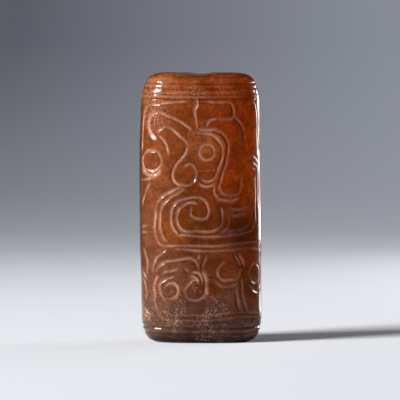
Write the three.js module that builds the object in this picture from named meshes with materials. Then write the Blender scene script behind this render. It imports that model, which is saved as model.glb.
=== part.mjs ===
// Carved jade tube pendant: one stone with a flattened section, ribbed at both ends and
// drilled from end to end for a cord. Millimetres, +Z up. The origin is the middle of the
// foot that the stone stands on, and the carved front faces -Y.

import * as THREE from "three";

// Driving dimensions
const HEIGHT = 54.4;
const WIDTH = 24.7;
const THICKNESS = 15;
const SQUARENESS = 2.6; // exponent of the section: 2 is an ellipse, larger is squarer

// Long wall, as half widths: it swells a little between the foot and the shoulder
const FOOT_HALF_WIDTH = 12.2;
const SHOULDER_HALF_WIDTH = 12.05;
const SHOULDER_Z = 48.6;

// Ends: each rounds in to a flat land, and draws in less across the thickness
const FOOT_LAND = 8.5;
const FOOT_RISE = 6;
const FOOT_FULLNESS = 2.8; // exponent of the foot's rounding: 2 is an ellipse, larger is squarer
const NECK_HALF_WIDTH = 11.25;
const NECK_Z = 51.9;
const CROWN_LAND = 6.9;
const DEPTH_SHARE = 0.5; // drawing-in across the thickness for each mm across the width

// Grooves cut round the ends, which leave the ribs between them
const GROOVE_WIDTH = 0.6;
const GROOVE_DEPTH = 0.15;
const FOOT_GROOVES = [2.5];
const CROWN_GROOVES = [48.6, 49.75, 51, 51.85];

// Bore, drilled from both ends to meet at the waist, with eased mouths
const BORE_WAIST_RADIUS = 3.1;
const BORE_END_RADIUS = 3.45;
const MOUTH_RADIUS = 3.9;
const MOUTH_EASE = 0.6;
const SADDLE_DEPTH = 0.5; // dip that the cord has worn across the crown
const SADDLE_HALF_WIDTH = 2.6;

// Fineness of the mesh
const AROUND = 64;
const END_STEPS = 6;
const WALL_STEPS = 6;
const BORE_STEPS = 4;

const halfWidth = WIDTH / 2;
const halfThickness = THICKNESS / 2;
const crownRise = HEIGHT - NECK_Z;
const grooves = [...FOOT_GROOVES, ...CROWN_GROOVES];

// Outline of the widest section, as a closed curve that starts on +X
class StoneSection extends THREE.Curve {
  getPoint(t, target = new THREE.Vector3()) {
    const angle = t * 2 * Math.PI;
    const x = Math.cos(angle);
    const y = Math.sin(angle);
    const reach =
      Math.abs(x / halfWidth) ** SQUARENESS + Math.abs(y / halfThickness) ** SQUARENESS;
    return target.set(x, y, 0).multiplyScalar(reach ** (-1 / SQUARENESS));
  }
}

// Half width of the outer wall at a height, with the rounded ends
function wallHalfWidth(z) {
  if (z < FOOT_RISE) {
    const drop = (FOOT_RISE - z) / FOOT_RISE;
    const reach = (1 - drop ** FOOT_FULLNESS) ** (1 / FOOT_FULLNESS);
    return FOOT_LAND + (FOOT_HALF_WIDTH - FOOT_LAND) * reach;
  }
  if (z > NECK_Z) {
    const rise = Math.min(1, (z - NECK_Z) / crownRise);
    return CROWN_LAND + (NECK_HALF_WIDTH - CROWN_LAND) * Math.sqrt(1 - rise * rise);
  }
  if (z > SHOULDER_Z) {
    return THREE.MathUtils.mapLinear(z, SHOULDER_Z, NECK_Z, SHOULDER_HALF_WIDTH, NECK_HALF_WIDTH);
  }
  const share = (z - FOOT_RISE) / (SHOULDER_Z - FOOT_RISE);
  const straight = THREE.MathUtils.lerp(FOOT_HALF_WIDTH, SHOULDER_HALF_WIDTH, share);
  const swell = halfWidth - (FOOT_HALF_WIDTH + SHOULDER_HALF_WIDTH) / 2;
  return straight + swell * Math.sin(share * Math.PI);
}

// Heights of the outer wall's rings: even steps of angle round the ends and of height along
// the wall, and three rings for each groove in place of what falls inside it
function wallHeights() {
  const plain = [];
  for (let i = 0; i < END_STEPS; i++) {
    const angle = (i / END_STEPS) * (Math.PI / 2);
    plain.push(FOOT_RISE * (1 - Math.cos(angle) ** (2 / FOOT_FULLNESS)));
    plain.push(NECK_Z + crownRise * Math.cos(angle));
  }
  for (let i = 0; i <= WALL_STEPS; i++) {
    plain.push(THREE.MathUtils.lerp(FOOT_RISE, SHOULDER_Z, i / WALL_STEPS));
  }
  const clear = plain.filter((z) => grooves.every((g) => Math.abs(z - g) > GROOVE_WIDTH));
  const cut = grooves.flatMap((g) => [g - GROOVE_WIDTH / 2, g, g + GROOVE_WIDTH / 2]);
  return [...clear, ...cut].sort((a, b) => a - b);
}

// A ring of the outer wall follows the section, drawn in at the ends and by the grooves
function wallRing(z) {
  const drawnIn = halfWidth - wallHalfWidth(z);
  const cut = grooves.includes(z) ? GROOVE_DEPTH : 0;
  return {
    across: halfWidth - drawnIn - cut,
    through: halfThickness - DEPTH_SHARE * drawnIn - cut,
    round: 0,
    z,
  };
}

// A ring of the bore is a plain circle
function boreRing(radius, z) {
  return { across: radius, through: radius, round: 1, z };
}

// Rings from the foot up the wall, over the crown and back down the bore
function stoneRings() {
  const rings = wallHeights().map(wallRing);
  rings.push(boreRing(MOUTH_RADIUS, HEIGHT));
  for (let i = 0; i <= BORE_STEPS; i++) {
    const z = THREE.MathUtils.lerp(HEIGHT - MOUTH_EASE, MOUTH_EASE, i / BORE_STEPS);
    const fromWaist = Math.abs(z - HEIGHT / 2) / (HEIGHT / 2 - MOUTH_EASE);
    rings.push(boreRing(THREE.MathUtils.lerp(BORE_WAIST_RADIUS, BORE_END_RADIUS, fromWaist), z));
  }
  rings.push(boreRing(MOUTH_RADIUS, 0));
  rings.push(rings[0]);
  return rings;
}

// How far the cord has worn the crown down at a place
function cordWear(x, z) {
  const fade = THREE.MathUtils.smoothstep(z, NECK_Z, HEIGHT);
  return SADDLE_DEPTH * fade * Math.exp(-((x / SADDLE_HALF_WIDTH) ** 2));
}

// The stone is turned as a round blank, and each of its vertices is then pressed on to its ring
function jadeTubeGeometry() {
  const rings = stoneRings();
  const blank = new THREE.LatheGeometry(
    rings.map((ring) => new THREE.Vector2(ring.across, ring.z)),
    AROUND,
  );
  const outline = new StoneSection().getSpacedPoints(AROUND);
  const place = blank.getAttribute("position");
  for (let i = 0; i < place.count; i++) {
    const column = Math.floor(i / rings.length) % AROUND;
    const ring = rings[i % rings.length];
    const angle = (column / AROUND) * 2 * Math.PI;
    const x = THREE.MathUtils.lerp(
      (outline[column].x * ring.across) / halfWidth,
      Math.cos(angle) * ring.across,
      ring.round,
    );
    const y = THREE.MathUtils.lerp(
      (outline[column].y * ring.through) / halfThickness,
      Math.sin(angle) * ring.through,
      ring.round,
    );
    place.setXYZ(i, x, y, ring.z - cordWear(x, ring.z));
  }
  blank.computeVertexNormals();
  return blank;
}

const russetJade = new THREE.MeshStandardMaterial({
  color: 0x8a4318,
  roughness: 0.28,
  metalness: 0,
});

const jadeTube = new THREE.Mesh(jadeTubeGeometry(), russetJade);
jadeTube.name = "jade_tube";

const pendant = new THREE.Group();
pendant.add(jadeTube);

export default pendant;
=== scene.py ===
import math

import bmesh
import bpy
import numpy as np
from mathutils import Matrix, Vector, noise


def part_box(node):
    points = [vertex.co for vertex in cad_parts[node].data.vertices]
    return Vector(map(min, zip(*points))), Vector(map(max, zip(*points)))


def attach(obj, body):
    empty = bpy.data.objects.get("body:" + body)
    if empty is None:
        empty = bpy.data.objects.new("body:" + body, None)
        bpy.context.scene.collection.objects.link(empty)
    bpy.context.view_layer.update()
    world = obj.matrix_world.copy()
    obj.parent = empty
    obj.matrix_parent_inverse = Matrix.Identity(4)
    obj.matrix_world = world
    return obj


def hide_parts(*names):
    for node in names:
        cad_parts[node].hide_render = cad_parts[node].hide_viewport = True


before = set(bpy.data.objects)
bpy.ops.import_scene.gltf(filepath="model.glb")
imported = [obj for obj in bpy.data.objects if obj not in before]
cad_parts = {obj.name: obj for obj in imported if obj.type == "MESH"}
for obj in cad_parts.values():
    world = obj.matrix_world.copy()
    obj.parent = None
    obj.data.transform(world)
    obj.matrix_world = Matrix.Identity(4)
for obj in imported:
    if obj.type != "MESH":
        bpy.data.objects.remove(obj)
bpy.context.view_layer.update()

# The ground stone
# The whole pendant is one piece of russet jade, sawn to a flattened tube and ground smooth.
# It is drawn here as the skin of the tube laid out flat, in mm: "around" runs along the
# section from the middle of the back, "along" runs up the profile from the foot's edge.

MM = 0.001
stone_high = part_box("jade_tube")[1]
half_width = stone_high.x / MM
half_thickness = stone_high.y / MM
height = stone_high.z / MM
SQUARENESS = 2.6  # exponent of the section: 2 is an ellipse, larger is squarer
FOOT_HALF_WIDTH = 12.2
SHOULDER_HALF_WIDTH = 12.05
SHOULDER_Z = 48.6
FOOT_LAND = 8.5
FOOT_RISE = 6.0
FOOT_FULLNESS = 2.8  # exponents of the roundings, as for the section
CROWN_FULLNESS = 2.5
NECK_HALF_WIDTH = 11.25
NECK_Z = 51.9
NECK_CURVE = 1.5  # 1 is a straight collar, larger bends in later
CROWN_LAND = 6.9
CROWN_SLOPE = 0.75
FINE_STEPS = 400

turn = np.linspace(0.5 * np.pi, 2.5 * np.pi, 4 * FINE_STEPS + 1)
reach = np.abs(np.cos(turn) / half_width) ** SQUARENESS
reach += np.abs(np.sin(turn) / half_thickness) ** SQUARENESS
section_x = np.cos(turn) * reach ** (-1 / SQUARENESS)
section_y = np.sin(turn) * reach ** (-1 / SQUARENESS)
section_around = np.concatenate(
    [[0], np.cumsum(np.hypot(np.diff(section_x), np.diff(section_y)))]
)
girth = section_around[-1]

quarter = np.linspace(0, 0.5 * np.pi, FINE_STEPS)
wall_share = np.linspace(0, 1, FINE_STEPS)
swell = half_width - 0.5 * (FOOT_HALF_WIDTH + SHOULDER_HALF_WIDTH)
wall_half_width = FOOT_HALF_WIDTH + (SHOULDER_HALF_WIDTH - FOOT_HALF_WIDTH) * wall_share
wall_half_width = wall_half_width + swell * np.sin(np.pi * wall_share)
crown_share = np.sin(quarter) ** (2 / CROWN_FULLNESS)
crown_round = (NECK_HALF_WIDTH - CROWN_LAND - CROWN_SLOPE) * np.cos(quarter) ** (2 / CROWN_FULLNESS)
profile_half_width = np.concatenate(
    [
        FOOT_LAND + (FOOT_HALF_WIDTH - FOOT_LAND) * np.sin(quarter) ** (2 / FOOT_FULLNESS),
        wall_half_width[1:],
        SHOULDER_HALF_WIDTH
        - (SHOULDER_HALF_WIDTH - NECK_HALF_WIDTH) * wall_share[1:] ** NECK_CURVE,
        (CROWN_LAND + CROWN_SLOPE * (1 - crown_share) + crown_round)[1:],
    ]
)
profile_z = np.concatenate(
    [
        FOOT_RISE * (1 - np.cos(quarter) ** (2 / FOOT_FULLNESS)),
        FOOT_RISE + (SHOULDER_Z - FOOT_RISE) * wall_share[1:],
        SHOULDER_Z + (NECK_Z - SHOULDER_Z) * wall_share[1:],
        (NECK_Z + (height - NECK_Z) * crown_share)[1:],
    ]
)
profile_along = np.concatenate(
    [[0], np.cumsum(np.hypot(np.diff(profile_half_width), np.diff(profile_z)))]
)
skin_length = profile_along[-1]

COLUMNS = 120
ROWS = 104

stone = bmesh.new()
bmesh.ops.create_grid(stone, x_segments=COLUMNS, y_segments=ROWS, size=0.5)
for vertex in stone.verts:
    vertex.co.x = (vertex.co.x + 0.5) * girth
    vertex.co.y = (vertex.co.y + 0.5) * skin_length

# The carved lines
# A bird with a long crest fills the upper panel and two coiled figures the lower one, cut
# with a small wheel. Each line is a slanted cut: a matte slope runs down to a steep wall,
# which stands to the right of the way the line is drawn. Points are mm as seen from the
# front, across from the middle and up from the foot.

CUT_WALL = 0.22
CUT_FLOOR = 0.14  # the deepest place lies this far to the right of the drawn line
CUT_REACH = 1.2  # no cut reaches further from its line
SLOPE_CURVE = 1.3
END_SHARE = 0.25  # a line ends at this share of its depth
END_EASE = 0.8
FROST_SPREAD = 1.5
LINE_STEP = 0.12
SPAN_STEPS = 12
RING_STEPS = 12
BITE_CHANGE = 0.35  # the wheel bites unevenly: share of the depth, and mm from bite to bite
BITE_LENGTH = 6.0
WOBBLE = 0.02
QUICK_WOBBLE = 3.1
SLOW_WOBBLE = 1.3


def smooth_line(points):
    """A close row of points on a smooth curve through the few that are given."""
    held = np.array([points[0], *points, points[-1]], float)
    share = np.linspace(0, 1, SPAN_STEPS, endpoint=False)[:, None]
    spans = []
    for before, start, end, after in zip(held, held[1:], held[2:], held[3:]):
        spans.append(
            0.5
            * (
                2 * start
                + (end - before) * share
                + (2 * before - 5 * start + 4 * end - after) * share**2
                + (3 * start - before - 3 * end + after) * share**3
            )
        )
    curve = np.concatenate([*spans, held[-1:]])
    length = np.concatenate([[0], np.cumsum(np.hypot(*np.diff(curve, axis=0).T))])
    even = np.linspace(0, length[-1], max(4, int(length[-1] / LINE_STEP)))
    return np.stack([np.interp(even, length, curve[:, i]) for i in (0, 1)], axis=1)


def ring(centre, radius):
    """Points round a circle, clockwise as seen from the front."""
    angles = np.radians(-np.linspace(0, 360, RING_STEPS + 1))
    return [
        (centre[0] + radius * math.cos(angle), centre[1] + radius * math.sin(angle))
        for angle in angles
    ]


# The stone leans to the left as it rises, and its shoulder was ground a little to the right.
# Seen from a little above, a place on the front looks lower than it is, and one at the sides
# less so, which the two rises make up for.
LEAN = 0.62
LEAN_PIVOT = 0.45
SHOULDER_SHIFT = 0.3
SHIFT_FROM = 40.0
FACE_RISE = 0.45
EDGE_RISE = 0.08
on_front = slice(FINE_STEPS, 3 * FINE_STEPS + 1)


def lean_at(z):
    """How far to the right the stone lies at a height, by its lean and its shifted shoulder."""
    shoulder = np.clip((z - SHIFT_FROM) / (SHOULDER_Z - SHIFT_FROM), 0, 1)
    return LEAN * (LEAN_PIVOT - z / height) + SHOULDER_SHIFT * shoulder


def lay_on_skin(line):
    """Moves a line from the front view, which looks a little down, on to the flat skin."""
    widest = np.interp(line[:, 1], profile_z, profile_half_width)
    across = (line[:, 0] - lean_at(line[:, 1])) * half_width / widest
    around = np.interp(across, section_x[on_front], section_around[on_front])
    nearness = -np.interp(around, section_around, section_y) / half_thickness
    z = line[:, 1] + EDGE_RISE + (FACE_RISE - EDGE_RISE) * nearness
    along = np.interp(z, profile_z, profile_along)
    return np.stack([around, along], axis=1)


bird = {
    "crest_outside": [
        (-9.0, 40.8), (-9.5, 41.3), (-10.1, 42.1), (-10.4, 43.5), (-10.1, 44.9), (-9.4, 45.8),
        (-8.5, 46.0), (-6.9, 45.3), (-4.7, 44.3), (-2.9, 43.2), (-1.7, 42.2),
    ],
    "crest_inside": [
        (-8.3, 41.8), (-8.5, 42.2), (-8.1, 42.7), (-7.3, 43.0), (-6.3, 42.8), (-5.3, 42.1),
        (-4.3, 41.2), (-3.5, 40.5), (-2.9, 39.8), (-2.7, 39.1),
    ],
    "crest_tie": [(-8.3, 41.3), (-7.7, 40.6), (-7.1, 39.8), (-6.8, 39.1), (-6.5, 37.6)],
    "beak_curl": [
        (-2.7, 39.1), (-2.9, 38.2), (-3.4, 37.3), (-4.1, 36.4), (-4.8, 35.6), (-5.3, 34.7),
        (-5.6, 33.8), (-5.6, 32.9), (-5.2, 32.0), (-4.3, 31.4), (-3.3, 31.3), (-2.2, 31.4),
        (-1.5, 32.1), (-1.1, 33.0), (-1.0, 33.9), (-1.3, 34.8), (-1.9, 35.5), (-2.7, 35.5),
        (-3.4, 34.9),
    ],
    "eye": ring((1.2, 37.9), 1.55),
    "face": [
        (-1.1, 41.8), (0.5, 41.7), (1.6, 41.6), (2.5, 41.2), (3.2, 40.6), (3.9, 39.8),
        (4.3, 39.1), (4.4, 38.0), (4.3, 36.7), (3.9, 35.6), (3.5, 34.6), (3.2, 33.6),
        (2.8, 32.8), (2.2, 32.3), (1.5, 32.1), (0.7, 32.2), (-0.1, 32.8),
    ],
    "head_back": [
        (-0.6, 42.5), (0.2, 42.4), (1.6, 42.4), (2.5, 42.5), (3.4, 42.2), (4.3, 41.7),
        (5.0, 40.9), (5.4, 40.0), (5.6, 39.1), (5.5, 38.0), (5.3, 36.8), (5.1, 35.5),
        (4.8, 34.6), (4.4, 33.8), (4.2, 32.9), (3.8, 31.8),
    ],
    "neck_hook": [
        (8.2, 33.1), (8.1, 31.6), (7.9, 30.4), (7.4, 29.6), (6.5, 29.3), (5.4, 29.3),
        (4.4, 29.6), (3.9, 30.2), (3.6, 31.0), (3.8, 31.8), (4.2, 32.9),
    ],
    "throat": [
        (7.8, 28.8), (6.9, 28.4), (5.9, 28.2), (4.7, 28.3), (3.7, 28.5), (3.1, 29.0),
        (2.7, 29.8), (2.6, 31.2),
    ],
    "mouth": [(2.9, 31.7), (2.2, 31.3), (1.1, 31.0), (0.2, 31.3), (-0.4, 31.7)],
    "plume": [
        (1.5, 48.3), (1.9, 48.0), (2.9, 47.9), (5.5, 47.9), (6.2, 47.5), (6.5, 46.7),
        (6.6, 45.8), (6.4, 45.0), (5.7, 44.6), (4.6, 44.5), (3.5, 44.6),
    ],
    "plume_root": [(1.0, 43.0), (1.3, 43.8), (1.8, 44.3), (2.5, 44.5), (3.5, 44.6)],
    "plume_tail": [(6.7, 45.0), (7.4, 44.4), (8.0, 43.7), (8.5, 42.7), (8.7, 41.8), (8.8, 40.2)],
    "wing_outside": [
        (-4.7, 21.1), (-4.9, 21.8), (-5.4, 22.4), (-5.9, 23.4), (-6.0, 24.3), (-6.0, 25.3),
        (-5.8, 26.6), (-5.4, 27.4), (-4.8, 28.0), (-4.0, 28.4), (-2.8, 28.7), (-1.5, 28.9),
        (-0.2, 28.8), (0.7, 28.3), (1.2, 27.6), (1.5, 26.7), (1.6, 25.9), (1.2, 24.9),
        (0.7, 24.6), (-0.2, 24.6), (-1.0, 24.7), (-1.8, 25.1), (-2.1, 25.7), (-2.0, 26.4),
        (-1.8, 27.1),
    ],
    "wing_inside": [
        (4.2, 26.8), (4.3, 25.6), (4.3, 24.4), (4.2, 23.5), (3.7, 22.8), (2.5, 22.2),
        (0.9, 22.0), (-0.6, 22.1), (-2.4, 22.0), (-3.5, 22.2), (-4.0, 22.6), (-4.5, 23.4),
        (-4.8, 24.3), (-4.8, 25.1), (-4.6, 26.0), (-4.3, 26.6), (-3.7, 27.1), (-3.0, 27.6),
        (-1.9, 27.9), (-1.0, 27.7), (-0.7, 27.6),
    ],
    "breast_outside": [
        (-6.8, 18.9), (-8.2, 19.5), (-8.7, 20.2), (-9.1, 21.4), (-9.3, 22.5), (-9.2, 23.8),
        (-9.1, 25.1), (-9.0, 26.9), (-8.7, 27.9), (-8.3, 28.5), (-7.7, 29.2), (-6.3, 29.9),
        (-5.3, 30.4), (-4.4, 30.8), (-3.3, 30.7),
    ],
    "breast_inside": [
        (-6.9, 20.2), (-7.4, 20.5), (-7.7, 21.2), (-8.0, 22.2), (-8.2, 23.4), (-8.2, 24.7),
        (-8.1, 26.0), (-7.8, 27.1), (-7.3, 27.8), (-6.7, 28.5), (-6.0, 29.0), (-5.1, 29.5),
        (-4.2, 30.1), (-3.4, 30.6),
    ],
    "leg": [(3.9, 21.8), (4.4, 22.0), (5.1, 22.6), (5.4, 23.4), (5.6, 24.3), (5.4, 25.3)],
    "tail_top": [
        (10.2, 33.2), (10.2, 31.4), (10.2, 29.9), (10.1, 28.9), (10.0, 27.8), (9.6, 27.0),
        (8.7, 26.6), (7.8, 26.4), (6.0, 26.5),
    ],
    "tail_under": [(9.8, 25.8), (9.0, 25.5), (8.2, 25.4), (7.4, 25.2), (6.6, 25.1), (5.9, 25.3)],
    "tail_foot": [
        (10.5, 26.7), (10.4, 25.6), (10.3, 24.4), (9.9, 23.5), (9.1, 22.7), (8.0, 22.3),
        (6.5, 22.1), (5.3, 22.0),
    ],
}

panel_frame = {
    "upper_left_corner": [
        (-11.8, 38.6), (-11.7, 41.5), (-11.6, 43.8), (-11.4, 45.8), (-11.0, 47.0),
        (-10.0, 47.6), (-7.9, 47.8), (-5.1, 48.0), (-2.7, 48.1),
    ],
    "panel_floor": [
        (11.0, 23.8), (10.9, 22.8), (10.5, 22.0),
        (9.6, 21.6), (8.3, 21.4), (6.5, 21.3), (4.7, 21.1), (2.5, 21.0), (-0.2, 21.0),
        (-3.3, 21.3), (-4.7, 21.1),
    ],
    "band_top": [
        (11.9, 20.0), (10.7, 19.7), (8.7, 19.6), (6.9, 19.4), (5.1, 19.3), (3.3, 19.1), (1.1, 19.1),
        (-1.1, 19.2), (-6.8, 19.2), (-8.1, 19.4),
    ],
    "band_foot": [
        (11.9, 18.7), (11.2, 18.5), (9.6, 18.5), (6.9, 18.3), (4.3, 18.2), (1.5, 18.1), (-1.1, 18.2),
        (-5.1, 18.5),
    ],
    "lower_left_corner": [
        (-9.6, 14.0), (-9.6, 14.4), (-9.5, 15.3), (-9.2, 16.1), (-8.9, 16.8), (-8.3, 17.4),
        (-7.3, 18.3), (-6.9, 18.6),
    ],
    "lower_frame_side": [
        (-7.3, 4.4), (-8.1, 5.0), (-8.6, 5.6), (-9.0, 6.8), (-9.3, 8.1), (-9.2, 9.6),
        (-9.4, 10.8), (-9.2, 12.0), (-8.7, 13.1),
    ],
}

foot_lines = {
    "lower_frame_outside": [
        (11.9, 4.6), (8.7, 4.7), (6.9, 4.6), (4.3, 4.3), (0.9, 4.1), (-1.9, 4.1), (-6.0, 4.2),
        (-7.3, 4.4),
    ],
    "lower_frame_inside": [
        (11.9, 5.6), (7.8, 5.6), (5.4, 5.6), (3.3, 5.3), (0.9, 5.1), (-1.5, 5.2), (-5.1, 5.2),
        (-6.0, 5.3), (-6.7, 5.7), (-7.4, 6.0),
    ],
}

coiled_figures = {
    "brow": [
        (-9.0, 14.2), (-8.4, 15.0), (-7.8, 15.6), (-7.3, 15.9), (-6.6, 16.1), (-4.8, 16.3),
        (-3.3, 16.6), (-2.2, 16.7), (-1.5, 16.4), (-1.0, 15.9), (-0.6, 15.2), (-0.4, 14.6),
    ],
    "brow_fold": [(-7.8, 13.7), (-7.2, 14.0), (-6.1, 14.1), (-4.8, 14.5)],
    "brow_spur": [(-3.2, 14.7), (-2.4, 14.0)],
    "left_coil_outside": [
        (-7.2, 8.1), (-7.6, 8.8), (-8.0, 9.4), (-8.2, 10.1), (-8.3, 11.0), (-8.0, 11.8),
        (-7.3, 12.4), (-6.8, 12.7), (-6.1, 12.8), (-5.4, 13.0),
    ],
    "left_coil": [
        (-7.1, 11.0), (-6.7, 11.5), (-5.9, 11.7), (-5.2, 11.5), (-4.7, 10.8), (-4.5, 10.1),
        (-4.8, 9.3), (-5.4, 8.7), (-6.1, 8.5), (-6.8, 8.7),
    ],
    "right_coil": [
        (1.0, 9.0), (0.2, 8.7), (-0.4, 8.3), (-1.4, 8.2), (-2.3, 8.4), (-2.8, 8.8), (-3.1, 9.4),
        (-3.2, 10.0), (-3.1, 10.5), (-2.8, 11.0), (-2.3, 11.4), (-1.8, 12.1), (-1.3, 12.3),
        (-0.7, 12.2), (-0.5, 11.6),
    ],
    "right_coil_tail": [(-2.2, 13.1), (-1.3, 12.9), (-0.7, 12.3), (-0.5, 11.6)],
    "right_coil_cap": [
        (-1.8, 13.7), (-1.6, 13.8), (-0.8, 13.8), (-0.2, 13.4), (0.2, 12.7), (0.4, 11.6),
    ],
    "fork_left": [(-0.3, 17.5), (-0.4, 16.8), (-0.6, 16.1)],
    "fork_right": [(1.2, 17.1), (0.9, 16.3), (0.5, 15.4), (0.6, 14.6)],
    "far_coil": [
        (8.0, 14.2), (7.6, 13.2), (7.1, 12.5), (6.0, 12.3), (5.0, 12.2), (4.2, 12.4), (3.8, 12.8),
    ],
    "far_coil_side": [(4.8, 15.7), (4.0, 15.3), (3.5, 14.6), (3.3, 13.9), (3.5, 13.1), (3.9, 12.6)],
    "far_coil_rest": [
        (7.4, 11.6), (6.6, 11.2), (5.7, 10.9), (4.6, 10.9), (3.7, 11.2), (3.1, 11.8),
    ],
    "divider_left_top": [(7.9, 15.0), (7.6, 15.9), (7.2, 16.6), (6.7, 17.5)],
    "divider_left_foot": [(7.2, 10.7), (7.2, 9.6), (7.4, 8.2), (7.7, 6.8), (8.0, 6.1)],
    "divider_right_top": [(7.5, 17.6), (8.1, 16.6), (8.5, 15.6), (8.8, 14.7)],
    "divider_right_foot": [
        (8.2, 12.3), (8.3, 10.9), (8.3, 9.6), (8.7, 8.2), (9.1, 6.8), (9.5, 6.1),
    ],
}

edge_figures = {
    "left_disc": [
        (-11.3, 37.7), (-10.5, 38.4), (-9.8, 38.3), (-8.9, 38.2), (-8.1, 37.0), (-8.0, 35.8),
        (-8.6, 34.8), (-9.5, 34.3), (-10.5, 34.4), (-11.3, 34.8), (-11.6, 35.6), (-11.7, 36.7),
        (-11.3, 37.7),
    ],
    "left_shelf": [(-11.8, 32.5), (-10.8, 32.6), (-9.7, 32.9)],
    "left_slant": [(-11.7, 27.6), (-11.5, 28.7), (-11.0, 30.1), (-10.7, 30.9), (-10.2, 31.9)],
    "left_notch_top": [(-11.7, 23.2), (-10.9, 23.2)],
    "left_notch_foot": [(-11.7, 22.0), (-10.9, 22.0)],
    "left_leaf_top": [
        (-10.8, 13.9), (-10.7, 15.1), (-10.8, 16.5), (-11.1, 17.4), (-11.5, 18.6),
    ],
    "left_leaf_middle": [(-11.0, 12.6), (-11.3, 13.2), (-11.7, 14.1)],
    "left_leaf_foot": [
        (-11.0, 8.5), (-10.9, 9.6), (-11.0, 10.5), (-11.2, 11.5), (-11.8, 12.8),
    ],
    "left_heel_top": [(-10.1, 5.3), (-10.8, 5.8), (-11.4, 6.8)],
    "left_heel_foot": [(-10.3, 4.7), (-11.1, 5.0), (-11.6, 5.7)],
    "right_hook_top": [(11.7, 36.2), (11.3, 37.0), (10.7, 37.3), (10.1, 36.9)],
    "right_hook_middle": [(11.7, 34.9), (11.3, 35.7), (10.7, 36.0), (10.1, 35.7)],
    "right_hook_foot": [(11.4, 34.3), (10.9, 34.8), (10.3, 34.6)],
    "right_disc": [
        (11.6, 11.5), (10.8, 11.8), (10.2, 12.5), (9.9, 13.5), (10.1, 14.4), (10.5, 15.2),
        (11.4, 15.6), (11.95, 15.0), (12.1, 13.6), (11.95, 12.2), (11.6, 11.5),
    ],
    "right_disc_rest": [(12.0, 10.5), (11.4, 9.9), (10.6, 10.4), (10.0, 11.0)],
}

broad_lines = {
    "left_disc_rest": [
        (-8.3, 34.8), (-8.5, 34.0), (-9.3, 33.5), (-10.2, 33.5), (-11.0, 34.0), (-11.6, 34.8),
    ],
    "crest_end": bird["crest_outside"][:7],
    "stem": [(0.4, 14.0), (0.6, 13.4), (0.9, 12.6), (1.0, 11.3), (1.0, 9.9), (1.0, 9.2)],
    "brow_of_head": [(2.3, 41.2), (3.1, 40.6), (3.8, 39.8), (4.2, 39.0)],
}

thread = {
    "crest_thread": [
        (-0.6, 42.5), (-0.8, 42.9), (-1.0, 44.2), (-1.2, 45.6), (-1.2, 46.6), (-0.9, 47.1),
        (-0.7, 47.8), (-0.9, 48.7),
    ],
}

edge_lines = {
    "upper_right_side": [
        (11.7, 38.4), (11.6, 41.4), (11.6, 44.4), (11.4, 46.2), (11.1, 47.6), (10.7, 48.6),
    ],
    "right_side": [(11.1, 22.8), (11.2, 23.8), (11.25, 24.8), (11.25, 31.4), (11.2, 33.2)],
    "right_seam": [(11.8, 27.0), (11.8, 30.0), (11.8, 34.6)],
}

fine_lines = {
    "cheek_line": [(-0.7, 34.3), (3.2, 34.4), (7.6, 34.3)],
    "saddle_edge": [(2.0, 51.9), (2.1, 53.0)],
}

# Each group has the width of its slopes and its depth in mm, and how pale its cuts are
cuts = []
cut_groups = (
    (bird, 0.6, 0.21, 1.0),
    (panel_frame, 0.57, 0.2, 0.95),
    (foot_lines, 0.57, 0.15, 0.45),
    (coiled_figures, 0.6, 0.21, 1.0),
    (edge_figures, 0.6, 0.22, 1.0),
    (broad_lines, 1.0, 0.24, 1.05),
    (thread, 0.6, 0.25, 1.5),
    (edge_lines, 0.6, 0.18, 0.5),
    (fine_lines, 0.24, 0.07, 0.4),
)
for figure, slope, depth, pale in cut_groups:
    for points in figure.values():
        front_line = lay_on_skin(smooth_line(points))
        back_line = front_line + np.array([0.5 * girth, 0])
        for line in (front_line, back_line, back_line - np.array([girth, 0])):
            cuts.append((line, slope, depth, pale))


def nearest_on_cuts(around, along):
    """For each cut: the places near it, how far to its right and from its ends, and its shape."""
    for line, slope, depth, pale in cuts:
        low = line.min(0) - CUT_REACH
        high = line.max(0) + CUT_REACH
        inside = (around > low[0]) & (around < high[0]) & (along > low[1]) & (along < high[1])
        places = np.flatnonzero(inside)
        if not len(places):
            continue
        off_around = around[places, None] - line[None, :, 0]
        off_along = along[places, None] - line[None, :, 1]
        closest = np.argmin(off_around**2 + off_along**2, axis=1)
        row = np.arange(len(places))
        off_around = off_around[row, closest]
        off_along = off_along[row, closest]
        heading = np.gradient(line, axis=0)
        heading /= np.hypot(*heading.T)[:, None]
        to_right = off_around * heading[closest, 1] - off_along * heading[closest, 0]
        distance = np.hypot(off_around, off_along)
        from_end = np.minimum(closest, len(line) - 1 - closest) * LINE_STEP
        run = closest * LINE_STEP
        start = line[0].sum()
        bite = 1 - BITE_CHANGE * (0.5 + 0.5 * np.sin(2 * np.pi * run / BITE_LENGTH + start))
        wobble = np.sin(QUICK_WOBBLE * run + start) * np.sin(SLOW_WOBBLE * run + 2 * start)
        side = np.where(to_right >= 0, distance, -distance) + WOBBLE * wobble
        yield places, side, from_end, slope, depth * bite, pale


def carve(around, along):
    """How deep the stone is cut at places on the skin, how matte it is there, and its painted shade along
    the walls.
    """
    deepest = np.zeros_like(around)
    matte = np.zeros_like(around)
    groove_shade = np.zeros_like(around)
    for places, side, from_end, slope, depth, pale in nearest_on_cuts(around, along):
        side = side - CUT_FLOOR
        down_slope = np.clip(side / slope + 1, 0, 1)
        up_wall = np.clip(side / CUT_WALL, 0, 1)
        shape = down_slope**SLOPE_CURVE * (1 - up_wall**2 * (3 - 2 * up_wall))
        ease = np.clip(END_SHARE + from_end / END_EASE, 0, 1)
        deepest[places] = np.maximum(deepest[places], depth * ease * shape)
        frosting = pale * np.clip(FROST_SPREAD * shape, 0, 1) * depth / depth.max()
        matte[places] = np.maximum(matte[places], ease * frosting)
        at_wall = np.clip(1 - np.abs(side - CUT_WALL) / CUT_WALL, 0, 1)
        groove_shade[places] = np.maximum(groove_shade[places], ease * at_wall * min(pale, 1))
    return deepest, matte, groove_shade
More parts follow.
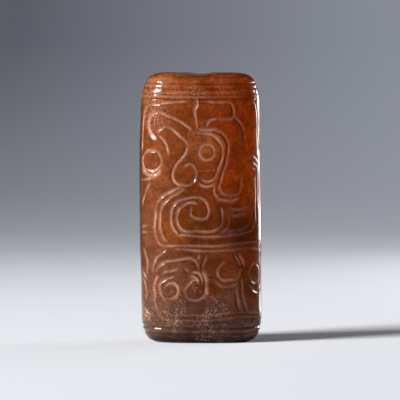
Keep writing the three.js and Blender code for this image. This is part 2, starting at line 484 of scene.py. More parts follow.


# Shallow flutes ground round both ends, which sag a little across the two broad faces.
# Each has its height, depth and half width in mm, and how strongly it is marked: painted shade in its
# hollow and a pale rib beside it.
FLUTES = (
    (2.1, 0.14, 0.42, 0.8),
    (3.25, 0.2, 0.44, 0.3),
    (49.2, 0.065, 0.3, 1.0),
    (50.05, 0.06, 0.28, 0.7),
    (51.25, 0.075, 0.28, 0.55),
    (52.2, 0.075, 0.28, 0.5),
)
FLUTE_SAG = 0.25


def flute_offsets(around, along):
    """How far places on the skin lie above each flute, its depth, half width and marking."""
    facing = np.abs(np.interp(around, section_around, section_y)) / half_thickness
    for flute_z, flute_depth, flute_half_width, flute_marking in FLUTES:
        offset = along - np.interp(flute_z, profile_z, profile_along) + FLUTE_SAG * facing**2
        yield offset, flute_depth, flute_half_width, flute_marking


# The skin is made finer twice round the cuts and flutes, and further out for a wide slope
REFINED_MARGINS = (0.7, 0.43)
MARGIN_SLOPE = 0.42

for margin in REFINED_MARGINS:
    flat = np.array([vertex.co[:2] for vertex in stone.verts])
    near = np.zeros(len(flat), bool)
    for places, side, from_end, slope, depth, pale in nearest_on_cuts(*flat.T):
        near[places[np.abs(side) < margin + 0.5 * (slope - MARGIN_SLOPE)]] = True
    for offset, flute_depth, flute_half_width, flute_marking in flute_offsets(*flat.T):
        near |= np.abs(offset) < margin
    stone.verts.index_update()
    crossed = [
        edge for edge in stone.edges if near[edge.verts[0].index] or near[edge.verts[1].index]
    ]
    bmesh.ops.subdivide_edges(stone, edges=crossed, cuts=1, use_grid_fill=True)

# The skin closed to a tube
# The carved skin, ground by hand and so never quite even, is bent round the section and joined
# at the middle of the back, so that the stone stands on its foot with the bird to the front.

UNEVENNESS = {6.0: 0.12, 2.2: 0.035}  # mm from swell to swell, and how deep
DEPTH_SHARE = 0.5  # drawing-in across the thickness for each mm across the width
RIB_OFFSET = 0.5
RIB_HALF_WIDTH = 0.4
RIB_PALENESS = 0.3
SEAM_GAP = 0.001

flat = np.array([vertex.co[:2] for vertex in stone.verts])
around, along = flat.T
depth, matte, groove_shade = carve(around, along)
for offset, flute_depth, flute_half_width, flute_marking in flute_offsets(around, along):
    hollow = 0.5 + 0.5 * np.cos(np.pi * np.clip(offset / flute_half_width, -1, 1))
    depth = np.maximum(depth, flute_depth * hollow)
    groove_shade = np.maximum(groove_shade, flute_marking * hollow)
    rib = np.clip(1 - np.abs(offset - RIB_OFFSET) / RIB_HALF_WIDTH, 0, 1)
    matte = np.maximum(matte, RIB_PALENESS * flute_marking * rib)
on_section_x = np.interp(around, section_around, section_x)
on_section_y = np.interp(around, section_around, section_y)
for wave, swing in UNEVENNESS.items():
    rough_places = np.stack([on_section_x, on_section_y, along], axis=1) / wave
    depth += [swing * (0.5 + 0.5 * noise.noise(place)) for place in rough_places]
out_x = np.gradient(section_y, section_around)
out_y = -np.gradient(section_x, section_around)
tilt = np.arctan2(
    -np.gradient(profile_half_width, profile_along), np.gradient(profile_z, profile_along)
)
tilt_here = np.interp(along, profile_along, tilt)
half_here = np.interp(along, profile_along, profile_half_width)
share_x = half_here / half_width
share_y = 1 - DEPTH_SHARE * (half_width - half_here) / half_thickness
normal_x = np.interp(around, section_around, out_x) * np.cos(tilt_here)
normal_y = np.interp(around, section_around, out_y) * np.cos(tilt_here)
placed = np.stack(
    [
        on_section_x * share_x - depth * normal_x,
        on_section_y * share_y - depth * normal_y,
        np.interp(along, profile_along, profile_z) - depth * np.sin(tilt_here),
    ],
    axis=1,
)
matte_layer = stone.verts.layers.float.new("matte")
groove_shade_layer = stone.verts.layers.float.new("groove_shade")
for vertex, place, matte_here, groove_shade_here in zip(stone.verts, placed, matte, groove_shade):
    vertex.co = place
    vertex[matte_layer] = matte_here
    vertex[groove_shade_layer] = groove_shade_here
bmesh.ops.remove_doubles(stone, verts=stone.verts, dist=SEAM_GAP)

# The ends and the bore
# Both ends are flat lands round the mouths of a bore for the cord. The bore was drilled from
# both ends and meets at a waist; the cord has worn a dip across the crown.

BORE_WAIST_RADIUS = 3.1
BORE_END_RADIUS = 3.45
MOUTH_RADIUS = 3.9
MOUTH_EASE = 0.6
MOUTH_ANGLES = (30, 60, 90)
LAND_SHARES = (0.33, 0.5, 1.0)
BORE_RINGS = 8
WAIST_HALF_LENGTH = 0.3
SADDLE_DEPTH = 0.5
SADDLE_HALF_WIDTH = 2.6
END_TOLERANCE = 0.5


def open_loop(z):
    """The edges of the open end at a height."""
    return [
        edge
        for edge in stone.edges
        if edge.is_boundary and abs(edge.verts[0].co.z - z) < END_TOLERANCE
    ]


def draw_on(loop, radius, z, share=1.0):
    """Draws a loop of edges out to a new ring: part or all of the way to a circle at a height."""
    made = bmesh.ops.extrude_edge_only(stone, edges=loop)["geom"]
    ring_verts = {item for item in made if isinstance(item, bmesh.types.BMVert)}
    for vertex in ring_verts:
        angle = math.atan2(vertex.co.y, vertex.co.x)
        target = Vector((radius * math.cos(angle), radius * math.sin(angle), z))
        vertex.co = vertex.co.lerp(target, share)
    return [
        item
        for item in made
        if isinstance(item, bmesh.types.BMEdge) and ring_verts.issuperset(item.verts)
    ]


crown_loop = open_loop(height)
foot_loop = open_loop(0)
for share in LAND_SHARES:
    crown_loop = draw_on(crown_loop, MOUTH_RADIUS, height, share)
    foot_loop = draw_on(foot_loop, MOUTH_RADIUS, 0, share)
for angle in np.radians(MOUTH_ANGLES):
    radius = MOUTH_RADIUS - (MOUTH_RADIUS - BORE_END_RADIUS) * math.sin(angle)
    drop = MOUTH_EASE * (1 - math.cos(angle))
    crown_loop = draw_on(crown_loop, radius, height - drop)
    foot_loop = draw_on(foot_loop, radius, drop)
for share in np.linspace(0, 1, BORE_RINGS + 1)[1:]:
    radius = BORE_END_RADIUS + (BORE_WAIST_RADIUS - BORE_END_RADIUS) * share
    reach_in = MOUTH_EASE + (0.5 * height - MOUTH_EASE - WAIST_HALF_LENGTH) * share
    crown_loop = draw_on(crown_loop, radius, height - reach_in)
    foot_loop = draw_on(foot_loop, radius, reach_in)
bmesh.ops.bridge_loops(stone, edges=crown_loop + foot_loop)

for vertex in stone.verts:
    rise = min(max((vertex.co.z - NECK_Z) / (height - NECK_Z), 0), 1)
    fade = rise * rise * (3 - 2 * rise)
    vertex.co.z -= SADDLE_DEPTH * fade * math.exp(-((vertex.co.x / SADDLE_HALF_WIDTH) ** 2))
    vertex.co.x += lean_at(vertex.co.z)
bmesh.ops.scale(stone, verts=stone.verts, vec=(MM, MM, MM))
bmesh.ops.recalc_face_normals(stone, faces=stone.faces)
for face in stone.faces:
    face.smooth = True

stone_mesh = bpy.data.meshes.new("carved_jade_tube")
stone.to_mesh(stone_mesh)
stone.free()
carved_stone = bpy.data.objects.new("carved_jade_tube", stone_mesh)
bpy.context.scene.collection.objects.link(carved_stone)

# Russet jade
# Nephrite whose skin has turned amber and red-brown: a tough, felted stone that takes a soft
# waxy polish and lets a little light in. The cut slopes were left matte and look paler.


def linear(hex_colour):
    """An sRGB hex colour as linear red, green, blue and alpha."""
    values = [int(hex_colour[i : i + 2], 16) / 255 for i in (1, 3, 5)]
    return (*[v / 12.92 if v <= 0.04045 else ((v + 0.055) / 1.055) ** 2.4 for v in values], 1)


def add_node(tree, kind, inputs=None, **settings):
    """Adds a node with its settings, and links or sets its inputs."""
    made = tree.nodes.new(kind)
    for name, value in settings.items():
        setattr(made, name, value)
    for socket, value in (inputs or {}).items():
        if isinstance(value, bpy.types.NodeSocket):
            tree.links.new(value, made.inputs[socket])
        else:
            made.inputs[socket].default_value = value
    return made


jade = bpy.data.materials.new("russet_nephrite_jade")
jade.use_nodes = True
tree = jade.node_tree
shader = tree.nodes["Principled BSDF"]
coords = add_node(tree, "ShaderNodeTexCoord")
measured = add_node(
    tree,
    "ShaderNodeMapping",
    {"Vector": coords.outputs["Object"], "Scale": (1 / MM, 1 / MM, 1 / MM)},
)
in_mm = measured.outputs["Vector"]
axes = add_node(tree, "ShaderNodeSeparateXYZ", {"Vector": in_mm})

# Colour: veils that run from amber on the left to red on the right, where they are painted brighter
# as a glow, mottled and grained, with a painted glow in the thin right edge, a brown foot, soft clouds,
# a dark bruise at the bird's tail, painted shade on the rims and the left edge, and streaks near both
# ends. Each cloud has its middle and reach in mm, its strength and its tone. The felted grain is far
# finer in the stone and is drawn as coarse as it needs to show.
VEIL_MM = 13.0
VEIL_SHARE = 0.9
TINT_MM = 4.0
MOTTLE_MM = 2.0
GRAIN_MM = 0.7
STREAK_MM = (5.0, 5.0, 0.4)
CLOUDS = (
    ((2.6, -7.2, 25.0), 9.5, 0.32, "#3c2114"),
    ((0.4, -7.3, 40.2), 5.5, 0.35, "#a8683a"),
    ((-4.6, -5.5, 52.6), 5.5, 0.35, "#b0621e"),
    ((7.8, -5.0, 51.4), 5.5, 0.4, "#b44c08"),
    ((-4.6, -7.0, 23.6), 5.5, 0.16, "#a04e12"),
    ((6.6, -6.4, 11.8), 7.5, 0.25, "#644018"),
)
CLOUD_CORE_MM = 1.5
BRUISE_PLACE = (8.6, -6.0, 22.6)
BRUISE_STRENGTH = 0.66
veil = add_node(
    tree,
    "ShaderNodeTexNoise",
    {"Vector": in_mm, "Scale": 1 / VEIL_MM, "Detail": 3.0, "Distortion": 0.6},
)
tint = add_node(
    tree,
    "ShaderNodeTexNoise",
    {"Vector": in_mm, "Scale": 1 / TINT_MM, "Detail": 5.0, "Roughness": 0.65},
)
mottle = add_node(
    tree,
    "ShaderNodeTexNoise",
    {"Vector": in_mm, "Scale": 1 / MOTTLE_MM, "Detail": 5.0, "Roughness": 0.58},
)
grain = add_node(
    tree,
    "ShaderNodeTexNoise",
    {"Vector": in_mm, "Scale": 1 / GRAIN_MM, "Detail": 3.0, "Roughness": 0.7},
)
across = add_node(
    tree,
    "ShaderNodeMapRange",
    {"Value": axes.outputs["X"], "From Min": -10.0, "From Max": 10.0, "To Min": -0.4, "To Max": 0.6},
)
zone = add_node(
    tree,
    "ShaderNodeMath",
    {0: veil.outputs["Fac"], 1: VEIL_SHARE, 2: across.outputs["Result"]},
    operation="MULTIPLY_ADD",
)
# The red end of the veils is the stone's own hue, and is also painted brighter as a glow for light that
# shines through the thin right side
body_tone_and_glow = add_node(tree, "ShaderNodeValToRGB", {"Fac": zone.outputs["Value"]})
body_tone_and_glow.color_ramp.elements[0].position = 0.1
body_tone_and_glow.color_ramp.elements[0].color = linear("#804621")
body_tone_and_glow.color_ramp.elements[1].position = 0.95
body_tone_and_glow.color_ramp.elements[1].color = linear("#933a0a")
body_tone_and_glow.color_ramp.elements.new(0.5).color = linear("#76350c")
# Painted glow: the thin right edge is painted brighter and warmer, more so higher up, for light that
# shines through it
thin_edge = add_node(
    tree,
    "ShaderNodeMapRange",
    {"Value": axes.outputs["X"], "From Min": 7.0, "From Max": 10.0},
    interpolation_type="SMOOTHSTEP",
)
outer_edge = add_node(
    tree,
    "ShaderNodeMapRange",
    {"Value": axes.outputs["X"], "From Min": 10.6, "From Max": 11.6, "To Min": 1.0, "To Max": 0.0},
)
edge_glow_share = add_node(
    tree,
    "ShaderNodeMath",
    {0: thin_edge.outputs["Result"], 1: outer_edge.outputs["Result"]},
    operation="MULTIPLY",
)
edge_glow_height = add_node(
    tree,
    "ShaderNodeMapRange",
    {"Value": axes.outputs["Z"], "From Min": 12.0, "From Max": 28.0, "To Min": 0.35, "To Max": 1.0},
)
painted_edge_glow = add_node(
    tree,
    "ShaderNodeMath",
    {0: edge_glow_share.outputs["Value"], 1: edge_glow_height.outputs["Result"]},
    operation="MULTIPLY",
)
edge_glow_tone = add_node(
    tree,
    "ShaderNodeMix",
    {"Factor": painted_edge_glow.outputs["Value"], "A": body_tone_and_glow.outputs["Color"], "B": linear("#d65a06")},
    data_type="RGBA",
)
lowness = add_node(
    tree,
    "ShaderNodeMapRange",
    {"Value": axes.outputs["Z"], "From Min": 35.0, "From Max": 2.0, "To Min": 0.0, "To Max": 0.82},
)
low_across = add_node(
    tree,
    "ShaderNodeMapRange",
    {"Value": axes.outputs["X"], "From Min": -11.0, "From Max": 11.0},
)
foot_tone = add_node(tree, "ShaderNodeValToRGB", {"Fac": low_across.outputs["Result"]})
foot_tone.color_ramp.elements[0].color = linear("#644d40")
foot_tone.color_ramp.elements[1].color = linear("#5a3a1e")
for position, tone in ((0.16, "#49311f"), (0.5, "#2e190b"), (0.84, "#2e190b")):
    foot_tone.color_ramp.elements.new(position).color = linear(tone)
low_tone = add_node(
    tree,
    "ShaderNodeMix",
    {
        "Factor": lowness.outputs["Result"],
        "A": edge_glow_tone.outputs["Result"],
        "B": foot_tone.outputs["Color"],
    },
    data_type="RGBA",
)
height_share = add_node(
    tree,
    "ShaderNodeMapRange",
    {"Value": axes.outputs["Z"], "From Min": 0.0, "From Max": height},
)
from_bruise = add_node(
    tree,
    "ShaderNodeVectorMath",
    {0: in_mm, 1: BRUISE_PLACE},
    operation="DISTANCE",
)
bruise = add_node(
    tree,
    "ShaderNodeMapRange",
    {
        "Value": from_bruise.outputs["Value"],
        "From Min": 1.2,
        "From Max": 6.6,
        "To Min": BRUISE_STRENGTH,
        "To Max": 0.0,
    },
    interpolation_type="SMOOTHSTEP",
)
clouded_tone = low_tone.outputs["Result"]
for place, cloud_reach, strength, tone in CLOUDS:
    from_cloud = add_node(
        tree, "ShaderNodeVectorMath", {0: in_mm, 1: place}, operation="DISTANCE"
    )
    cloud = add_node(
        tree,
        "ShaderNodeMapRange",
        {
            "Value": from_cloud.outputs["Value"],
            "From Min": CLOUD_CORE_MM,
            "From Max": cloud_reach,
            "To Min": strength,
            "To Max": 0.0,
        },
        interpolation_type="SMOOTHSTEP",
    )
    cloud_mix = add_node(
        tree,
        "ShaderNodeMix",
        {"Factor": cloud.outputs["Result"], "A": clouded_tone, "B": linear(tone)},
        data_type="RGBA",
    )
    clouded_tone = cloud_mix.outputs["Result"]
bruised_tone = add_node(
    tree,
    "ShaderNodeMix",
    {"Factor": bruise.outputs["Result"], "A": clouded_tone, "B": linear("#320b02")},
    data_type="RGBA",
)
# Painted shade: near black where the foot meets the table, darker towards the bottom of the foot and along
# the crown's top edge
rim_shade = add_node(tree, "ShaderNodeValToRGB", {"Fac": height_share.outputs["Result"]})
for element, amount in zip(rim_shade.color_ramp.elements, (1.0, 0.6)):
    element.color = (amount, amount, amount, 1)
for position, amount in ((0.012, 0.95), (0.03, 0.48), (0.08, 0.32), (0.15, 0.0), (0.97, 0.0)):
    rim_shade.color_ramp.elements.new(position).color = (amount, amount, amount, 1)
# Painted shade along the left edge, which the key lamp lights too strongly
left_shade = add_node(
    tree,
    "ShaderNodeMapRange",
    {"Value": axes.outputs["X"], "From Min": -9.0, "From Max": -12.0, "To Min": 0.0, "To Max": 0.54},
)
shade = add_node(
    tree,
    "ShaderNodeMath",
    {0: rim_shade.outputs["Color"], 1: left_shade.outputs["Result"]},
    operation="MAXIMUM",
)
shaded_tone = add_node(
    tree,
    "ShaderNodeMix",
    {"Factor": shade.outputs["Value"], "A": bruised_tone.outputs["Result"], "B": linear("#1a0a05")},
    data_type="RGBA",
)
mottle_value = add_node(
    tree,
    "ShaderNodeMapRange",
    {"Value": mottle.outputs["Fac"], "From Min": 0.3, "From Max": 0.7, "To Min": 0.7, "To Max": 1.3},
)
mottle_hue = add_node(
    tree,
    "ShaderNodeMapRange",
    {"Value": tint.outputs["Fac"], "From Min": 0.3, "From Max": 0.7, "To Min": 0.493, "To Max": 0.503},
)
grain_value = add_node(
    tree,
    "ShaderNodeMapRange",
    {"Value": grain.outputs["Fac"], "From Min": 0.35, "From Max": 0.65, "To Min": 0.74, "To Max": 1.26},
)
streak_places = add_node(
    tree,
    "ShaderNodeMapping",
    {"Vector": in_mm, "Scale": [1 / size for size in STREAK_MM]},
)
streaks = add_node(
    tree,
    "ShaderNodeTexNoise",
    {"Vector": streak_places.outputs["Vector"], "Scale": 1.0, "Detail": 3.0, "Roughness": 0.7},
)
streak_change = add_node(
    tree,
    "ShaderNodeMapRange",
    {"Value": streaks.outputs["Fac"], "From Min": 0.35, "From Max": 0.65, "To Min": -0.45, "To Max": 0.45},
)
streak_zone = add_node(tree, "ShaderNodeValToRGB", {"Fac": height_share.outputs["Result"]})
for element in streak_zone.color_ramp.elements:
    element.color = (1, 1, 1, 1)
for position, amount in ((0.08, 0.9), (0.14, 0.15), (0.84, 0.1), (0.9, 0.6)):
    streak_zone.color_ramp.elements.new(position).color = (amount, amount, amount, 1)
streak_value = add_node(
    tree,
    "ShaderNodeMath",
    {0: streak_change.outputs["Result"], 1: streak_zone.outputs["Color"], 2: 1.0},
    operation="MULTIPLY_ADD",
)
grained_value = add_node(
    tree,
    "ShaderNodeMath",
    {0: mottle_value.outputs["Result"], 1: grain_value.outputs["Result"]},
    operation="MULTIPLY",
)
ground_value = add_node(
    tree,
    "ShaderNodeMath",
    {0: grained_value.outputs["Value"], 1: streak_value.outputs["Value"]},
    operation="MULTIPLY",
)
foot_greyness = add_node(
    tree,
    "ShaderNodeMapRange",
    {"Value": axes.outputs["Z"], "From Min": 3.0, "From Max": 9.0, "To Min": 0.9, "To Max": 1.0},
)
ground_tone = add_node(
    tree,
    "ShaderNodeHueSaturation",
    {
        "Color": shaded_tone.outputs["Result"],
        "Hue": mottle_hue.outputs["Result"],
        "Saturation": foot_greyness.outputs["Result"],
        "Value": ground_value.outputs["Value"],
    },
)

# Wear: pale flecks in clusters at the foot and round the collar, and more of them in a few
# frosted places on the left, each with its middle and reach in mm and its strength. The two
# places on the upper left are partly a painted highlight, where the key lamp's sheen falls.
CLUSTER_MM = 3.2
FLECK_MM = 0.3
FROSTED_AND_SHEEN = (
    ((-8.8, -5.5, 45.4), 3.6, 0.7),
    ((-10.4, -4.4, 48.6), 4.2, 0.45),
    ((-6.6, -6.4, 6.6), 4.6, 0.2),
    ((-10.8, -3.5, 5.4), 3.2, 0.3),
)
FROST_CORE_MM = 0.8
wear_zone = add_node(tree, "ShaderNodeValToRGB", {"Fac": height_share.outputs["Result"]})
wear_zone.color_ramp.elements[0].color = (0.4, 0.4, 0.4, 1)
wear_zone.color_ramp.elements[1].color = (0.2, 0.2, 0.2, 1)
for position, amount in ((0.11, 0.65), (0.2, 0.35), (0.3, 0.04), (0.86, 0.08), (0.92, 0.6)):
    wear_zone.color_ramp.elements.new(position).color = (amount, amount, amount, 1)
cluster = add_node(
    tree,
    "ShaderNodeTexNoise",
    {"Vector": in_mm, "Scale": 1 / CLUSTER_MM, "Detail": 3.0, "Roughness": 0.6},
)
crowding = add_node(
    tree,
    "ShaderNodeMapRange",
    {"Value": cluster.outputs["Fac"], "From Min": 0.45, "From Max": 0.62},
)
flecks = add_node(
    tree,
    "ShaderNodeTexNoise",
    {"Vector": in_mm, "Scale": 1 / FLECK_MM, "Detail": 2.0, "Roughness": 0.6},
)
speck = add_node(
    tree,
    "ShaderNodeMapRange",
    {"Value": flecks.outputs["Fac"], "From Min": 0.5, "From Max": 0.68},
)
wear_across = add_node(
    tree,
    "ShaderNodeMapRange",
    {"Value": axes.outputs["X"], "From Min": 3.0, "From Max": 9.0, "To Min": 1.0, "To Max": 0.3},
)
worn_and_sheen = speck.outputs["Result"]
for share in (
    crowding.outputs["Result"], wear_across.outputs["Result"], wear_zone.outputs["Color"]
):
    worn_share = add_node(tree, "ShaderNodeMath", {0: worn_and_sheen, 1: share}, operation="MULTIPLY")
    worn_and_sheen = worn_share.outputs["Value"]
# Frosted places: real pale wear, and on the upper left also a painted highlight
for place, frost_reach, strength in FROSTED_AND_SHEEN:
    from_place = add_node(
        tree, "ShaderNodeVectorMath", {0: in_mm, 1: place}, operation="DISTANCE"
    )
    frost_and_sheen = add_node(
        tree,
        "ShaderNodeMapRange",
        {
            "Value": from_place.outputs["Value"],
            "From Min": FROST_CORE_MM,
            "From Max": frost_reach,
            "To Min": strength,
            "To Max": 0.0,
        },
    )
    worn_and_sheen_here = add_node(
        tree,
        "ShaderNodeMath",
        {0: speck.outputs["Result"], 1: frost_and_sheen.outputs["Result"], 2: worn_and_sheen},
        operation="MULTIPLY_ADD",
        use_clamp=True,
    )
    worn_and_sheen = worn_and_sheen_here.outputs["Value"]
worn_and_sheen_tone = add_node(
    tree,
    "ShaderNodeMix",
    {"Factor": worn_and_sheen, "A": ground_tone.outputs["Color"], "B": linear("#c69f8b")},
    data_type="RGBA",
)

# The cut slopes are pale and dull, less so low down, in the bruise and where they are rubbed, and are
# painted paler on the left as painted sheen; painted shade darkens them along their walls and in the
# flutes
GROOVE_SHADE_STRENGTH = 0.4
matte_amount = add_node(tree, "ShaderNodeAttribute", attribute_name="matte")
wear_of_cuts = add_node(
    tree,
    "ShaderNodeMapRange",
    {"Value": cluster.outputs["Fac"], "From Min": 0.37, "From Max": 0.6, "To Min": 0.38, "To Max": 1.05},
)
cut_grain = add_node(
    tree,
    "ShaderNodeMapRange",
    {"Value": flecks.outputs["Fac"], "From Min": 0.35, "From Max": 0.65, "To Min": 0.65, "To Max": 1.2},
)
cuts_low = add_node(
    tree,
    "ShaderNodeMapRange",
    {"Value": lowness.outputs["Result"], "To Min": 1.0, "To Max": 0.65},
)
# Painted sheen: the pale cuts are kept paler on the left, where the key lamp's sheen falls
cut_sheen_across = add_node(
    tree,
    "ShaderNodeMapRange",
    {"Value": axes.outputs["X"], "From Min": -9.0, "From Max": 9.0, "To Min": 1.0, "To Max": 0.85},
)
cuts_unbruised = add_node(
    tree,
    "ShaderNodeMapRange",
    {
        "Value": bruise.outputs["Result"],
        "From Min": 0.0,
        "From Max": BRUISE_STRENGTH,
        "To Min": 1.0,
        "To Max": 0.3,
    },
)
paleness = matte_amount.outputs["Fac"]
for kept_share in (cuts_low, cut_sheen_across, cuts_unbruised, wear_of_cuts, cut_grain):
    kept_pale = add_node(
        tree,
        "ShaderNodeMath",
        {0: paleness, 1: kept_share.outputs["Result"]},
        operation="MULTIPLY",
    )
    paleness = kept_pale.outputs["Value"]
# The cuts' own pale colour, painted paler on the left as painted sheen
cut_sheen_side = add_node(
    tree,
    "ShaderNodeMapRange",
    {"Value": axes.outputs["X"], "From Min": -9.0, "From Max": 9.0},
)
cut_colour_and_sheen = add_node(
    tree,
    "ShaderNodeMix",
    {"Factor": cut_sheen_side.outputs["Result"], "A": linear("#cf9f82"), "B": linear("#ae724d")},
    data_type="RGBA",
)
matte_tone = add_node(
    tree,
    "ShaderNodeMix",
    {"Factor": paleness, "A": worn_and_sheen_tone.outputs["Result"], "B": cut_colour_and_sheen.outputs["Result"]},
    data_type="RGBA",
)
# Painted shade: dark along the cut walls and in the flute hollows
groove_shade_amount = add_node(tree, "ShaderNodeAttribute", attribute_name="groove_shade")
groove_shade_share = add_node(
    tree,
    "ShaderNodeMath",
    {0: groove_shade_amount.outputs["Fac"], 1: GROOVE_SHADE_STRENGTH},
    operation="MULTIPLY",
)
cut_tone = add_node(
    tree,
    "ShaderNodeMix",
    {"Factor": groove_shade_share.outputs["Value"], "A": matte_tone.outputs["Result"], "B": linear("#3f1206")},
    data_type="RGBA",
)
tree.links.new(cut_tone.outputs["Result"], shader.inputs["Base Color"])

# Gloss: a waxy polish lies over the stone as a clear coat, rubbed off the very foot and one
# small place on the collar; the stone beneath it scatters light softly
DULL_PLACE = (-8.6, -6.2, 49.3)
gloss = add_node(
    tree,
    "ShaderNodeMapRange",
    {
        "Value": matte_amount.outputs["Fac"],
        "From Min": 0.0,
        "From Max": 0.7,
        "To Min": 0.33,
        "To Max": 0.5,
    },
)
tree.links.new(gloss.outputs["Result"], shader.inputs["Roughness"])
shader.inputs["IOR"].default_value = 1.61
shader.inputs["Specular IOR Level"].default_value = 0.03
coat = add_node(
    tree,
    "ShaderNodeMapRange",
    {"Value": axes.outputs["Z"], "From Min": 0.3, "From Max": 2.0},
)
from_dull_place = add_node(
    tree,
    "ShaderNodeVectorMath",
    {0: in_mm, 1: DULL_PLACE},
    operation="DISTANCE",
)
polish_kept = add_node(
    tree,
    "ShaderNodeMapRange",
    {"Value": from_dull_place.outputs["Value"], "From Min": 0.7, "From Max": 1.4, "To Min": 0.1},
)
coat_weight = add_node(
    tree,
    "ShaderNodeMath",
    {0: coat.outputs["Result"], 1: polish_kept.outputs["Result"]},
    operation="MULTIPLY",
)
tree.links.new(coat_weight.outputs["Value"], shader.inputs["Coat Weight"])
shader.inputs["Coat Roughness"].default_value = 0.05
shader.inputs["Coat IOR"].default_value = 1.3

# Light sinks a few mm into the stone and comes out red
LIGHT_DEPTH_MM = 3.0
shader.inputs["Subsurface Weight"].default_value = 0.9
shader.inputs["Subsurface Radius"].default_value = (1.0, 0.3, 0.12)
shader.inputs["Subsurface Scale"].default_value = LIGHT_DEPTH_MM * MM

# Fine unevenness that the polish has left, stronger under the coat than on it
RELIEF_MM = 0.07
GRAIN_RELIEF = 0.45
relief = add_node(
    tree,
    "ShaderNodeMath",
    {0: grain.outputs["Fac"], 1: GRAIN_RELIEF, 2: mottle.outputs["Fac"]},
    operation="MULTIPLY_ADD",
)
bump = add_node(
    tree,
    "ShaderNodeBump",
    {"Height": relief.outputs["Value"], "Distance": RELIEF_MM * MM, "Strength": 1.0},
)
tree.links.new(bump.outputs["Normal"], shader.inputs["Normal"])
sparkle = add_node(
    tree,
    "ShaderNodeMapRange",
    {"Value": matte_amount.outputs["Fac"], "To Min": 0.12, "To Max": 0.35},
)
polish = add_node(
    tree,
    "ShaderNodeBump",
    {
        "Height": relief.outputs["Value"],
        "Distance": RELIEF_MM * MM,
        "Strength": sparkle.outputs["Result"],
    },
)
tree.links.new(polish.outputs["Normal"], shader.inputs["Coat Normal"])
stone_mesh.materials.append(jade)

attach(carved_stone, "root")
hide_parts("jade_tube")

# The table
# A pale matte board that the pendant stands on, which sweeps up behind it. Painted shade greys it
# towards the back, more on the left, and it is painted dark outside a pool of light wider than the view.

FLOOR_HALF_WIDTH = 1.5
FLOOR_FRONT = -1.5
FLOOR_BACK = 0.3
SWEEP_RADIUS = 1.5
SWEEP_DEGREES = 60
SWEEP_STEPS = 24
POOL_WIDENING = 0.06
POOL_FRONT = 0.135
POOL_FRONT_FALL = 1.4

sweep = bmesh.new()
bmesh.ops.create_grid(sweep, x_segments=1, y_segments=1, size=1)
for vertex in sweep.verts:
    vertex.co.x *= FLOOR_HALF_WIDTH
    vertex.co.y = FLOOR_FRONT if vertex.co.y < 0 else FLOOR_BACK
back_edge = [edge for edge in sweep.edges if all(end.co.y > 0 for end in edge.verts)]
bmesh.ops.spin(
    sweep,
    geom=back_edge,
    cent=(0, FLOOR_BACK, SWEEP_RADIUS),
    axis=(1, 0, 0),
    angle=math.radians(SWEEP_DEGREES),
    steps=SWEEP_STEPS,
)
bmesh.ops.recalc_face_normals(sweep, faces=sweep.faces)
for face in sweep.faces:
    face.smooth = True
sweep_mesh = bpy.data.meshes.new("table_sweep")
sweep.to_mesh(sweep_mesh)
sweep.free()
table_sweep = bpy.data.objects.new("table_sweep", sweep_mesh)
bpy.context.scene.collection.objects.link(table_sweep)

board = bpy.data.materials.new("matte_board")
board.use_nodes = True
board_tree = board.node_tree
board_shader = board_tree.nodes["Principled BSDF"]
board_shader.inputs["Roughness"].default_value = 0.9
board_shader.inputs["Specular IOR Level"].default_value = 0.0
board_coords = add_node(board_tree, "ShaderNodeTexCoord")
board_axes = add_node(
    board_tree, "ShaderNodeSeparateXYZ", {"Vector": board_coords.outputs["Object"]}
)
# Painted shade: the board's colour greys towards the back and on the left, as the lamps' light falls away
board_side = add_node(
    board_tree,
    "ShaderNodeMapRange",
    {"Value": board_axes.outputs["X"], "From Min": -0.07, "From Max": 0.07},
)
board_low_shade = add_node(
    board_tree,
    "ShaderNodeMix",
    {"Factor": board_side.outputs["Result"], "A": linear("#92969e"), "B": linear("#b3b7c1")},
    data_type="RGBA",
)
board_high_shade = add_node(
    board_tree,
    "ShaderNodeMix",
    {"Factor": board_side.outputs["Result"], "A": linear("#6c6d77"), "B": linear("#a6abb7")},
    data_type="RGBA",
)
board_rise = add_node(
    board_tree,
    "ShaderNodeMapRange",
    {"Value": board_axes.outputs["Y"], "From Min": 0.42, "From Max": 0.7},
)
board_shade = add_node(
    board_tree,
    "ShaderNodeMix",
    {
        "Factor": board_rise.outputs["Result"],
        "A": board_low_shade.outputs["Result"],
        "B": board_high_shade.outputs["Result"],
    },
    data_type="RGBA",
)
board_reach = add_node(
    board_tree,
    "ShaderNodeMapRange",
    {"Value": board_axes.outputs["Y"], "From Min": 0.03, "From Max": 0.47},
    interpolation_type="SMOOTHSTEP",
)
board_painted_shade_tone = add_node(
    board_tree,
    "ShaderNodeMix",
    {"Factor": board_reach.outputs["Result"], "A": linear("#eff2f7"), "B": board_shade.outputs["Result"]},
    data_type="RGBA",
)
# Painted pool of light: outside it the board is painted dark
board_offset = add_node(
    board_tree, "ShaderNodeMath", {0: board_axes.outputs["X"]}, operation="ABSOLUTE"
)
board_side_way = add_node(
    board_tree,
    "ShaderNodeMath",
    {0: board_axes.outputs["Y"], 1: -POOL_WIDENING, 2: board_offset.outputs["Value"]},
    operation="MULTIPLY_ADD",
)
board_front_way = add_node(
    board_tree,
    "ShaderNodeMath",
    {0: board_axes.outputs["Y"], 1: -POOL_FRONT_FALL, 2: -POOL_FRONT},
    operation="MULTIPLY_ADD",
)
board_way_out = add_node(
    board_tree,
    "ShaderNodeMath",
    {0: board_side_way.outputs["Value"], 1: board_front_way.outputs["Value"]},
    operation="MAXIMUM",
)
board_painted_dark_aside = add_node(
    board_tree,
    "ShaderNodeMapRange",
    {"Value": board_way_out.outputs["Value"], "From Min": 0.047, "From Max": 0.12},
    interpolation_type="SMOOTHSTEP",
)
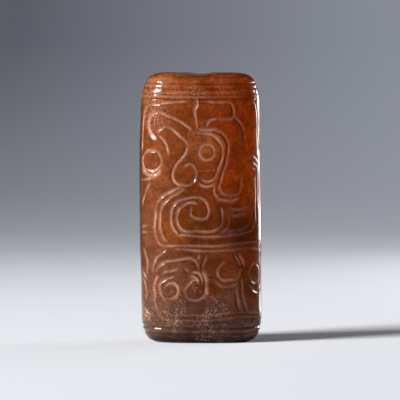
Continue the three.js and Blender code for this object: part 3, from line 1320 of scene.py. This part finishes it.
board_painted_light_pool = add_node(
    board_tree,
    "ShaderNodeMix",
    {"Factor": board_painted_dark_aside.outputs["Result"], "A": board_painted_shade_tone.outputs["Result"], "B": linear("#1c1d20")},
    data_type="RGBA",
)
board_tree.links.new(board_painted_light_pool.outputs["Result"], board_shader.inputs["Base Color"])
sweep_mesh.materials.append(board)

# The light
# A key softbox stands to the left in front and a little above. A lit card close behind to the
# right edges the stone in white, two small lamps at the sides and a strip on the table, which
# shines upwards, glint in its grooves, and the room is dim.

LOW_STRIP_TURN = 134


def softbox(name, turn_deg, rise_deg, distance, size, watts):
    """A rectangular lamp aimed at the stone; the turn is to the right of the camera's side."""
    turn_angle = math.radians(turn_deg)
    rise_angle = math.radians(rise_deg)
    aim = Vector((0, 0, 0.5 * height * MM))
    away = Vector(
        (
            math.sin(turn_angle) * math.cos(rise_angle),
            -math.cos(turn_angle) * math.cos(rise_angle),
            math.sin(rise_angle),
        )
    )
    lamp = bpy.data.lights.new(name, "AREA")
    lamp.shape = "RECTANGLE"
    lamp.size = size[0]
    lamp.size_y = size[1]
    lamp.energy = watts
    lamp_object = bpy.data.objects.new(name, lamp)
    lamp_object.location = aim + away * distance
    lamp_object.rotation_euler = away.to_track_quat("Z", "Y").to_euler()
    bpy.context.scene.collection.objects.link(lamp_object)
    return lamp_object


softbox("key_softbox", -61, 23, 2.0, (0.65, 0.4), 77)
softbox("edge_card", 139, 4.0, 0.3, (0.12, 0.09), 0.33)
softbox("side_lamp", 114, 15, 0.5, (0.07, 0.06), 0.4)
softbox("left_lamp", -98, 10, 0.8, (0.07, 0.07), 0.2)
low_strip = softbox("low_strip", LOW_STRIP_TURN, -8.8, 0.17, (0.03, 0.2), 0.1)
low_strip.rotation_euler = (math.pi, 0, math.radians(LOW_STRIP_TURN))

world = bpy.data.worlds.new("dim_room")
bpy.context.scene.world = world
world.use_nodes = True
world.node_tree.nodes["Background"].inputs["Color"].default_value = linear("#c8d0dc")
world.node_tree.nodes["Background"].inputs["Strength"].default_value = 0.04

# The camera
# It looks a little down on the front from most of a metre away, from just above the crown.

CAMERA_DISTANCE = 0.8
CAMERA_HEIGHT = 0.068
AIM_Z = 0.02885
ASIDE = -0.0001
FRAME_WIDTH = 0.08
SENSOR_MM = 36

camera_data = bpy.data.cameras.new("camera")
camera = bpy.data.objects.new("camera", camera_data)
camera.location = (ASIDE, -CAMERA_DISTANCE, CAMERA_HEIGHT)
view_line = Vector((ASIDE, -half_thickness * MM, AIM_Z)) - camera.location
camera.rotation_euler = view_line.to_track_quat("-Z", "Y").to_euler()
camera_data.sensor_width = SENSOR_MM
camera_data.lens = SENSOR_MM * view_line.length / FRAME_WIDTH
bpy.context.scene.collection.objects.link(camera)
bpy.context.scene.camera = camera
bpy.context.scene.view_settings.view_transform = "Standard"
